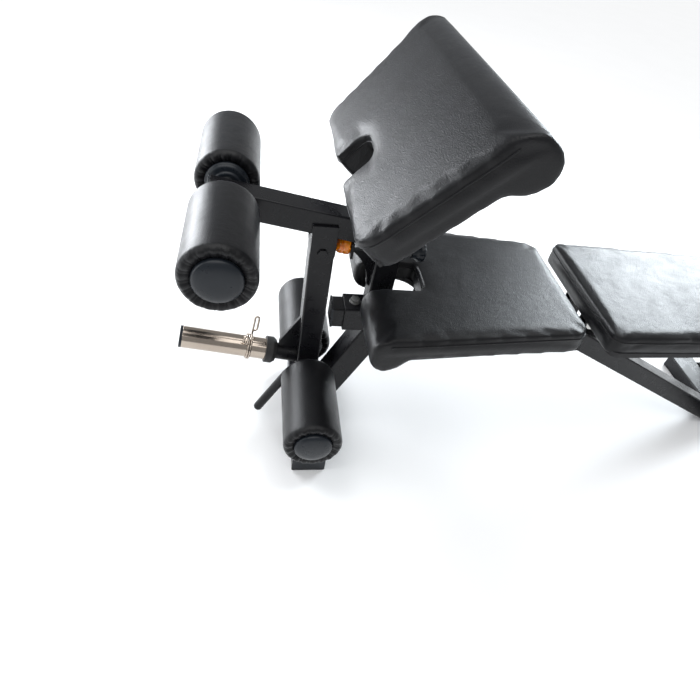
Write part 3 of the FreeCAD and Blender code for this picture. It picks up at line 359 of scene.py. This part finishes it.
def arc(centre, radius, start, end, steps):
    """Profile points along a quarter or any other arc, angles in degrees."""
    return [(centre[0] + radius * math.cos(math.radians(start + (end - start) * step / steps)),
             centre[1] + radius * math.sin(math.radians(start + (end - start) * step / steps)))
            for step in range(steps + 1)]


# ---------------------------------------------------------------- pads

VOXEL = 0.0055
PRESSURE = 2.5
STRETCH_STIFFNESS = 15.0
BEND_STIFFNESS = 1.5
LAST_FRAME = 16
SWELL_CAP = 0.003
TUCK = 0.0025
BOARD_GAP = 0.0015
ROLL_FILLET = 0.03
ROLL_END_CORNER = 0.014
SLOT_MOUTH_CORNER = 0.016
SLOT_BOTTOM_SHARE = 0.36
PLAIN_END_SHARE = 0.75
PROBE_IN = 0.01
SEAM_DROP = 0.0135
SEAM_RADIUS = 0.0014
SEAM_LIFT = 0.35
SEAM_STEP = 0.006
SEAM_BREAK = 0.02


def local_tree(node, into_local):
    """A CAD node's points in a pad's own axes, with a tree to cast rays at."""
    mesh = nodes[node].data
    points = [into_local @ v.co for v in mesh.vertices]
    return points, BVHTree.FromPolygons(points, [p.vertices[:] for p in mesh.polygons])


def measure(node, board, base):
    """Read a pad's sizes off its CAD solid, in its own axes: u along it, v across it, w up from its top."""
    into_local = base.inverted()
    points, tree = local_tree(node, into_local)
    board_low = min((into_local @ v.co).z for v in nodes[board].data.vertices)
    level = board_low * 0.5 + 0.004

    def half_at(u):
        return tree.ray_cast(Vector((u, 1, level)), Vector((0, -1, 0)))[0].y

    return {"thick": -board_low, "high_u": max(p.x for p in points), "deep": -min(p.z for p in points),
            "half_at": half_at, "tree": tree, "level": level}


def side_outline(length, thick, roll):
    """A pad's side view: a flat top, and a far roll that runs into the underside with a hollow curve."""
    if not roll:
        return [(0, 0), (length, 0), (length, -thick), (0, -thick)]
    reach = roll + ROLL_FILLET
    drop = thick + ROLL_FILLET - roll
    hollow_u = length - math.sqrt(reach * reach - drop * drop)
    meet = math.degrees(math.atan2(-drop, hollow_u - length)) % 360
    shape = [(0, 0)] + arc((length, -roll), roll, 90, meet - 360, 30)
    shape += arc((hollow_u, -thick - ROLL_FILLET), ROLL_FILLET, meet - 180, 90, 10)
    return shape + [(0, -thick)]


def swell(piece, held):
    """Blow the cover up a little against the board that holds it, then keep the shape."""
    count = len(piece.data.vertices)
    rest = [v.co.copy() for v in piece.data.vertices]
    pins = piece.vertex_groups.new(name="held")
    pins.add([v.index for v in piece.data.vertices if held(v.co)], 1.0, "REPLACE")
    cloth = piece.modifiers.new("cover", "CLOTH")
    cloth.settings.use_pressure = True
    cloth.settings.uniform_pressure_force = PRESSURE
    cloth.settings.vertex_group_mass = "held"
    cloth.settings.quality = 5
    cloth.settings.tension_stiffness = STRETCH_STIFFNESS
    cloth.settings.compression_stiffness = STRETCH_STIFFNESS
    cloth.settings.bending_stiffness = BEND_STIFFNESS
    cloth.settings.effector_weights.gravity = 0.0
    for number in range(1, LAST_FRAME + 1):
        scene.frame_set(number)
    apply_modifiers(piece)
    scene.frame_set(1)
    piece.vertex_groups.clear()
    assert len(piece.data.vertices) == count
    for vertex, start in zip(piece.data.vertices, rest):
        moved = vertex.co - start
        if moved.length > 1e-9:
            vertex.co = start + moved.normalized() * (SWELL_CAP * math.tanh(moved.length / SWELL_CAP))


def make_pad(name, board, base, body, notch, corner):
    """One upholstered pad in place of its CAD solid; returns the points of the seam round its edge.

    The pad's own axes have u = 0 at its plain end. A notch is a slot in the roll or in the plain end.
    """
    sizes = measure(name, board, base)
    thick = sizes["thick"]
    roll = sizes["deep"] / 2 if sizes["deep"] > thick * 1.2 else 0
    length = sizes["high_u"] - roll
    start_half = sizes["half_at"](PROBE_IN)
    end_half = sizes["half_at"](length - PROBE_IN)
    far_u = sizes["high_u"]
    ends = [(0, -start_half), (far_u, -end_half), (far_u, end_half), (0, start_half)]
    if roll:
        radii = [corner, ROLL_END_CORNER, ROLL_END_CORNER, corner]
    else:
        radii = [corner * PLAIN_END_SHARE, corner, corner, corner * PLAIN_END_SHARE]
    if notch:
        probe = far_u - PROBE_IN / 2 if notch == "roll" else PROBE_IN / 2
        wide = sizes["tree"].ray_cast(Vector((probe, 0, -roll if notch == "roll" else sizes["level"])),
                                      Vector((0, 1, 0)))[0].y
        inward = Vector((-1, 0, 0)) if notch == "roll" else Vector((1, 0, 0))
        mouth = far_u if notch == "roll" else 0
        bottom = sizes["tree"].ray_cast(Vector((mouth, 0, sizes["level"])), inward)[0].x
        slot_shape = [(mouth, wide), (bottom, wide), (bottom, -wide), (mouth, -wide)]
        bottom_corner = wide * SLOT_BOTTOM_SHARE
        slot_radii = [SLOT_MOUTH_CORNER, bottom_corner, bottom_corner, SLOT_MOUTH_CORNER]
        if notch == "roll":
            ends = ends[:2] + slot_shape[::-1] + ends[2:]
            radii = radii[:2] + slot_radii + radii[2:]
        else:
            ends = ends + slot_shape
            radii = radii + slot_radii
    plan = rounded(ends, radii)
    inset = []
    for index, point in enumerate(plan):
        along = Vector(plan[(index + 1) % len(plan)]) - Vector(plan[index - 1])
        outward = Vector((along.y, -along.x)).normalized()
        inset.append(tuple(Vector(point) - outward * TUCK))
    slab = prism(name + "_cover", inset, -1, 1, lambda a, b, level: Vector((a, b, level)))
    side = prism(name + "_side", side_outline(length, thick - BOARD_GAP, roll), -1, 1,
                 lambda a, b, level: Vector((a, level, b)))
    meeting = slab.modifiers.new("meet", "BOOLEAN")
    meeting.operation = "INTERSECT"
    meeting.solver = "EXACT"
    meeting.object = side
    apply_modifiers(slab)
    bpy.data.objects.remove(side)
    voxels = slab.modifiers.new("voxels", "REMESH")
    voxels.mode = "VOXEL"
    voxels.voxel_size = VOXEL
    apply_modifiers(slab)
    blur(slab, 7)
    swell(slab, lambda co: co.z < -thick * 0.6)
    blur(slab, 2)
    smooth = slab.modifiers.new("smooth", "SUBSURF")
    smooth.levels = smooth.render_levels = 1
    apply_modifiers(slab)
    tree = BVHTree.FromPolygons([v.co for v in slab.data.vertices],
                                [p.vertices[:] for p in slab.data.polygons])
    slab.data.transform(base)
    cover = new_piece(name + "_upholstery", slab.data, "vinyl", body, [name])
    bpy.data.objects.remove(slab)
    # the seam follows the plan on the cover's real surface, and leaves out the far face of a roll
    path = []
    count = len(plan)
    for index in range(count):
        here, after = Vector(plan[index]), Vector(plan[(index + 1) % count])
        pieces = max(1, round((after - here).length / SEAM_STEP))
        for step in range(pieces):
            spot = here.lerp(after, step / pieces)
            path.append(Vector((spot.x, spot.y, -SEAM_DROP)))
    points = []
    for spot in path:
        place, normal, _, _ = tree.find_nearest(spot)
        if not roll or spot.x < length + roll * 0.1:
            points.append(place + normal * SEAM_RADIUS * SEAM_LIFT)
    return points


def seam(name, points, base, body):
    """Lay the welt bead along points of a pad's own axes, in runs without gaps."""
    runs = [[points[0]]]
    for point in points[1:]:
        if (point - runs[-1][-1]).length > SEAM_BREAK:
            runs.append([point])
        else:
            runs[-1].append(point)
    if len(runs) > 1 and (runs[-1][-1] - runs[0][0]).length < SEAM_BREAK:
        runs[0] = runs.pop() + runs[0]
    closed = len(runs) == 1 and (runs[0][-1] - runs[0][0]).length < SEAM_BREAK
    for index, run in enumerate(runs, 1):
        if len(run) < 4:
            continue
        mesh = tube("%s_%d" % (name, index), [base @ p for p in run], SEAM_RADIUS, closed)
        new_piece("%s_%d" % (name, index), mesh, "vinyl", body, [])


def pad_frames():
    """Where each pad's own axes lie: origin at the top of its plain end."""
    seat_low, seat_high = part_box("seat_pad")
    back_low, back_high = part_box("back_pad")
    turn_about = Matrix.Rotation(math.pi, 4, "Z")
    seat = Matrix.Translation((seat_high.x, 0, seat_high.z)) @ turn_about
    back = Matrix.Translation((back_low.x, 0, back_high.z))
    # the curl pad leans back with its bracket plate: the plate's long edge gives the slope
    mesh = nodes["curl_bracket"].data
    level_edges = [(mesh.vertices[a].co - mesh.vertices[b].co) for a, b in (e.vertices for e in mesh.edges)]
    up_slope = max((e if e.x > 0 else -e for e in level_edges if abs(e.y) < 1e-5), key=lambda e: e.length)
    slope = math.atan2(up_slope.z, up_slope.x)
    turn = Matrix.Rotation(-slope, 4, "Y")
    points = [turn.inverted() @ v.co for v in nodes["curl_pad"].data.vertices]
    curl = turn @ Matrix.Translation((min(p.x for p in points), 0, max(p.z for p in points)))
    return seat, back, curl


seat_base, back_base, curl_base = pad_frames()
PADS = (("seat_pad", "seat_board", seat_base, "roll", 0.045),
        ("back_pad", "back_board", back_base, None, 0.04),
        ("curl_pad", "curl_board", curl_base, "flat", 0.048))
for pad, board, base, notch, corner in PADS:
    body = body_of[pad]
    seam(pad + "_welt", make_pad(pad, board, base, body, notch, corner), base, body)


# ---------------------------------------------------------------- rollers

FOLDS = 18
FOLD_DEPTH = 0.0052
FOLD_LEAN = 0.0016
RIM_ROUND = 0.011
RIM_STEPS = 9
END_DROP = 0.0008
END_SLOPE = 0.0045
SUNK = 0.0075
LIP_SHARE = 0.97
INNER_SHARE = 0.34
AXLE_GAP = 0.0002
DISC_CHAMFER = 0.003
DOME_STEPS = 12
DOME_BACK = 0.0045
DOME_RISE = 0.0115
# distance along the axis, and share of the disc's radius
COLLAR = ((0.0, 0.6), (0.001, 0.66), (0.0035, 0.68), (0.004, 0.72), (0.0045, 0.86), (0.0055, 0.94),
          (0.0075, 0.96), (0.0085, 0.98), (0.0095, 1.04), (0.012, 1.06))


def roller(prefix):
    """A foam roller's vinyl cover, gathered at both ends, and the moulded hub with a domed disc."""
    foam_low, foam_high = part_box(prefix + "_foam")
    hub_low, hub_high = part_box(prefix + "_hub")
    outward = 1 if foam_low.y > 0 else -1
    centre = Vector(((foam_low.x + foam_high.x) / 2, (foam_low.y + foam_high.y) / 2,
                     (foam_low.z + foam_high.z) / 2))
    half = (foam_high.y - foam_low.y) / 2
    radius = (foam_high.x - foam_low.x) / 2
    disc = (hub_high.x - hub_low.x) / 2
    lip = disc * LIP_SHARE
    inner = radius * INNER_SHARE
    rim = half - RIM_ROUND
    outer_end = arc((rim, radius - RIM_ROUND), RIM_ROUND, 90, 15, RIM_STEPS)
    for step in range(1, RIM_STEPS + 1):
        share = step / RIM_STEPS
        outer_end.append((half - END_DROP - END_SLOPE * share,
                          radius - RIM_ROUND - (radius - RIM_ROUND - lip) * share))
    outer_end += [(half - SUNK, lip * 0.9), (half - SUNK, inner)]
    shape = [(-distance, r) for distance, r in reversed(outer_end)]
    shape += [(rim * (step / 12 - 1), radius) for step in range(1, 24)]
    shape += outer_end
    wobble = random.Random(prefix)
    lean = [wobble.uniform(-0.5, 0.5) for _ in range(FOLDS)]
    depth = [wobble.uniform(0.65, 1.15) for _ in range(FOLDS)]

    def gather(distance, r, turn):
        """Raise a point of either end face along the axis, in folds that fade at the rim and the lip."""
        zone = (radius - r) / (radius - lip)
        if abs(distance) < rim or zone <= 0 or r < lip * 0.95:
            return distance, r
        place = turn / (2 * math.pi) * FOLDS
        index = int(place) % FOLDS
        part = place - int(place)
        ridge = math.sin(math.pi * part) ** 0.8
        window = math.sin(math.pi * min(1.0, zone * 0.9)) ** 0.7
        push = math.copysign(FOLD_DEPTH * depth[index] * (ridge - 0.45) * window, distance)
        return distance + push, r + FOLD_LEAN * lean[index] * window

    axis = (0, outward, 0)
    cover = new_piece(prefix + "_cover", lathe(prefix + "_cover", shape, centre, axis, 200, gather), "vinyl",
                      body_of[prefix + "_foam"], [prefix + "_foam"])
    collar_start = (hub_low.y if outward > 0 else -hub_high.y) - abs(centre.y)
    face = (hub_high.y if outward > 0 else -hub_low.y) - abs(centre.y)
    bore = (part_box("upper_axle")[1].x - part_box("upper_axle")[0].x) / 2 + AXLE_GAP
    rim_of_disc = disc - DISC_CHAMFER
    collar = [(collar_start, bore)] + [(collar_start + along, disc * share) for along, share in COLLAR]
    collar += [(SUNK - half - 0.001, disc), (SUNK - half, rim_of_disc)]
    dome = [(SUNK - half, inner * 0.9), (half - SUNK, inner * 0.9), (half - SUNK, rim_of_disc),
            (half - SUNK + DISC_CHAMFER / 2, disc - 0.0008), (half - 0.002, disc)]
    for step in range(1, DOME_STEPS + 1):
        share = step / DOME_STEPS
        dome.append((face - DOME_BACK + DOME_RISE * math.sin(share * math.pi / 2) ** 1.1,
                     disc * math.cos(share * math.pi / 2) ** 0.75 if step < DOME_STEPS else 0.0))
    socket = [(half + 0.001, 0.0), (half + 0.001, bore)]
    mesh = lathe(prefix + "_hub_moulding", socket + collar + dome, centre, axis, 96)
    new_piece(prefix + "_hub_moulding", mesh, "plastic", body_of[prefix + "_hub"], [prefix + "_hub"])


for row in ("upper", "lower"):
    for hand in ("left", "right"):
        roller("%s_roller_%s" % (row, hand))


# ---------------------------------------------------------------- bumper, pull pins and spring clip

def middle_of(node):
    """The centre and the size of a node's box."""
    low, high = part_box(node)
    return (low + high) / 2, high - low


def turned_piece(name, profile, centre, axis, steps, slot, node, wave=None):
    """A lathe mesh in place of one CAD node."""
    return new_piece(name, lathe(name, profile, centre, axis, steps, wave), slot, body_of[node], [node])


centre, span = middle_of("bumper")
face = Vector((centre.x + span.x / 2, centre.y, centre.z))
# shares of the bumper's length and radius, from its mounting face to its tip
BULB = ((0, 0), (0, 0.78), (0.03, 0.86), (0.08, 0.94), (0.16, 0.99), (0.28, 1.0), (0.38, 0.97),
        (0.45, 0.91), (0.5, 0.9), (0.55, 0.92), (0.66, 0.9), (0.78, 0.82), (0.88, 0.68), (0.95, 0.5),
        (0.99, 0.28), (1.0, 0))
turned_piece("bumper_bulb", [(share * span.x, round_share * span.z / 2) for share, round_share in BULB], face,
             (-1, 0, 0), 96, "amber", "bumper")

# shares of the knob's length and radius, from its neck to its dished end
KNOB_END = 0.97
KNOB = ((0.0, 0.52), (0.0, 0.66), (0.04, 0.7), (0.2, 0.72), (0.32, 0.76), (0.4, 0.88), (0.46, 0.96),
        (0.54, 1.0), (0.78, 1.0), (0.88, 0.97), (0.95, 0.88), (0.985, 0.74), (1.0, 0.55), (0.975, 0.5),
        (KNOB_END, 0.0))
LOBES = 7
FLUTE_DEPTH = 0.075
NECK_SHARE = 0.72
THREADS = 9
PIN_GAP = 0.0003
knob_length = middle_of("height_knob")[1].x
knob_radius = middle_of("height_knob")[1].z / 2
pin_radius = middle_of("height_pin")[1].z / 2


def flutes(distance, radius, turn):
    """Shallow finger hollows round a knob's rim."""
    share = max(0.0, radius / knob_radius - NECK_SHARE) / (1 - NECK_SHARE)
    return distance, radius * (1 - FLUTE_DEPTH * share * (0.5 - 0.5 * math.cos(LOBES * turn)) ** 2)


def pull_pin(barrel, knob, axis, pin_too):
    """A fluted knob and a threaded barrel with a hexagon; pin_too draws the pin with the knob."""
    axis = Vector(axis)
    centre, span = middle_of(barrel)
    length = abs(span.dot(axis))
    flat = sorted(span)[1] / 2
    wall = centre - axis * length / 2
    nut = length / 3
    thread = flat / 1.5
    ridges = []
    pitch = (length - nut) / THREADS
    for step in range(THREADS):
        ridges += [(nut + pitch * (step + 0.1), thread * 0.9), (nut + pitch * (step + 0.5), thread),
                   (nut + pitch * (step + 0.6), thread)]
    bore = pin_radius + PIN_GAP
    profile = [(0.0, bore), (0.0, flat), (nut, flat), (nut, thread * 0.9)] + ridges + [
        (length, thread * 0.88), (length, bore)]

    def hexagon(distance, radius, turn):
        if radius < flat * 0.99:
            return distance, radius
        part = turn % (math.pi / 3) - math.pi / 6
        return distance, radius * math.cos(math.pi / 6) / math.cos(part)

    turned_piece(barrel + "_threaded", profile, wall, axis, 96, "chrome", barrel, hexagon)
    centre, span = middle_of(knob)
    end = centre + axis * abs(span.dot(axis)) / 2
    start = end - axis * knob_length
    profile = [(share * knob_length, round_share * knob_radius) for share, round_share in KNOB]
    if pin_too:
        tip = knob_length - abs(span.dot(axis))
        profile = [(tip, 0.0), (tip, pin_radius * 0.7), (tip + 0.0015, pin_radius),
                   (0.0, pin_radius)] + profile
    else:
        profile = [(0.0, pin_radius)] + profile[:-1] + [(knob_length * KNOB_END, pin_radius)]
    turned_piece(knob + "_grip", profile, start, axis, 112, "plastic", knob, flutes)


pull_pin("height_pin_barrel", "height_knob", (1, 0, 0), False)
pull_pin("back_pin_barrel", "back_pin", (0, 1, 0), True)


CLIP_WIRE = 0.0023
CLIP_GAP = 0.0002
CLIP_PITCH = 0.0049
COIL_SPAN = 2.3
COIL_STEPS = 120
OPENING = 42


def clip_wire():
    """The spring clip as one bent wire: a little over two turns and two hairpin handles."""
    sleeve_from, sleeve_to = middle_of("weight_flange")[0], middle_of("sleeve_cap")[0]
    along = (sleeve_to - sleeve_from).normalized()
    across = Vector((0, 1, 0))
    up = across.cross(along)
    up = up if up.z > 0 else -up
    points = [v.co - sleeve_from for v in nodes["spring_clip"].data.vertices]
    reach = [((p - along * p.dot(along)).length, p.dot(along), p) for p in points]
    sleeve = max((v.co - sleeve_from - along * (v.co - sleeve_from).dot(along)).length
                 for v in nodes["weight_sleeve"].data.vertices)
    coil = sleeve + CLIP_WIRE + CLIP_GAP
    near = [place for away, place, p in reach if p.dot(up) < 0]
    middle = (min(near) + max(near)) / 2

    def at(turn, place):
        return sleeve_from + along * place + (up * math.cos(turn) + across * math.sin(turn)) * coil

    first, last = math.radians(-OPENING), math.radians(OPENING + 720)
    path = [at(first + (last - first) * step / COIL_STEPS,
               middle + CLIP_PITCH * (COIL_SPAN / 2 - COIL_SPAN * step / COIL_STEPS))
            for step in range(COIL_STEPS + 1)]

    def handle(foot, away, lean, rise, width):
        """A hairpin that leaves the coil, turns over and comes back down."""
        out = (up * math.cos(lean) + across * math.sin(lean)).normalized()
        made = [foot + out * rise * step / 8 for step in range(1, 9)]
        top = made[-1] + away * width
        for angle in range(20, 181, 20):
            bend = math.radians(angle)
            made.append(top - away * width * math.cos(bend) + out * width * math.sin(bend))
        made += [made[-1] - out * rise * 0.62 * step / 6 for step in range(1, 7)]
        made += [made[-1] - out * 0.004 - away * 0.0035, made[-1] - out * 0.0055 - away * 0.008]
        return made

    near_leg = handle(path[0], along, math.radians(-16), 0.028, 0.0048)
    far_leg = handle(path[-1], -along, math.radians(14), 0.042, 0.0045)
    path = near_leg[::-1] + path + far_leg
    new_piece("spring_clip_wire", tube("spring_clip_wire", path, CLIP_WIRE, False, 12), "chrome",
              body_of["spring_clip"], ["spring_clip"])


clip_wire()


# ---------------------------------------------------------------- stage, light and camera

REACH = 12.0
floor_mesh = bpy.data.meshes.new("floor")
floor_mesh.from_pydata([(-REACH, -REACH, 0), (REACH, -REACH, 0), (REACH, REACH, 0), (-REACH, REACH, 0)], [],
                       [(0, 1, 2, 3)])
floor = bpy.data.objects.new("floor", floor_mesh)
scene.collection.objects.link(floor)
floor.location.z = -0.0005
floor_look, floor_tree, floor_shader = new_material("pale_floor", (0.93, 0.93, 0.93), 0.8)
floor_tree.links.new(tint(floor_tree, noise(floor_tree, place_of(floor_tree), 3.0), (0.92, 0.92, 0.92),
                          (0.95, 0.95, 0.95)), floor_shader.inputs["Base Color"])
floor_shader.inputs["Specular IOR Level"].default_value = 0.1
floor_mesh.materials.append(floor_look)

world = bpy.data.worlds.new("studio")
scene.world = world
world.use_nodes = True
world.node_tree.nodes["Background"].inputs["Color"].default_value = (0.96, 0.98, 1.0, 1)
world.node_tree.nodes["Background"].inputs["Strength"].default_value = 0.42


def panel(name, place, aim, size, power, colour):
    """A soft box: an area light that faces a point."""
    light = bpy.data.lights.new(name, "AREA")
    light.shape = "RECTANGLE"
    light.size, light.size_y = size
    light.energy = power
    light.color = colour
    lamp = bpy.data.objects.new(name, light)
    scene.collection.objects.link(lamp)
    lamp.location = place
    lamp.rotation_euler = (Vector(aim) - Vector(place)).to_track_quat("-Z", "Y").to_euler()


panel("back_left", (-2.6, 2.6, 1.1), (0.0, 0.0, 0.7), (2.2, 1.5), 165, (0.93, 0.96, 1.0))
panel("back_right", (2.6, 1.9, 1.5), (0.4, 0.0, 0.5), (1.2, 1.0), 90, (0.88, 0.95, 1.0))
panel("left", (-2.4, -0.5, 1.2), (-0.1, -0.1, 0.5), (0.7, 1.8), 14, (0.94, 0.97, 1.0))

daylight = bpy.data.lights.new("daylight", "SUN")
daylight.energy = 1.95
daylight.angle = math.radians(70)
sky = bpy.data.objects.new("daylight", daylight)
scene.collection.objects.link(sky)
sky.rotation_euler = (math.radians(8), math.radians(-6), 0)

camera_data = bpy.data.cameras.new("camera")
camera_data.sensor_width = 36.0
camera_data.lens = 27.85
camera = bpy.data.objects.new("camera", camera_data)
scene.collection.objects.link(camera)
turn = (Matrix.Rotation(math.radians(-14.5), 4, "Z") @ Matrix.Rotation(math.radians(47.2), 4, "X")
        @ Matrix.Rotation(math.radians(11.6), 4, "Z"))
camera.matrix_world = Matrix.Translation((-0.1498, -0.9209, 1.1247)) @ turn
scene.camera = camera
scene.view_settings.view_transform = "Standard"
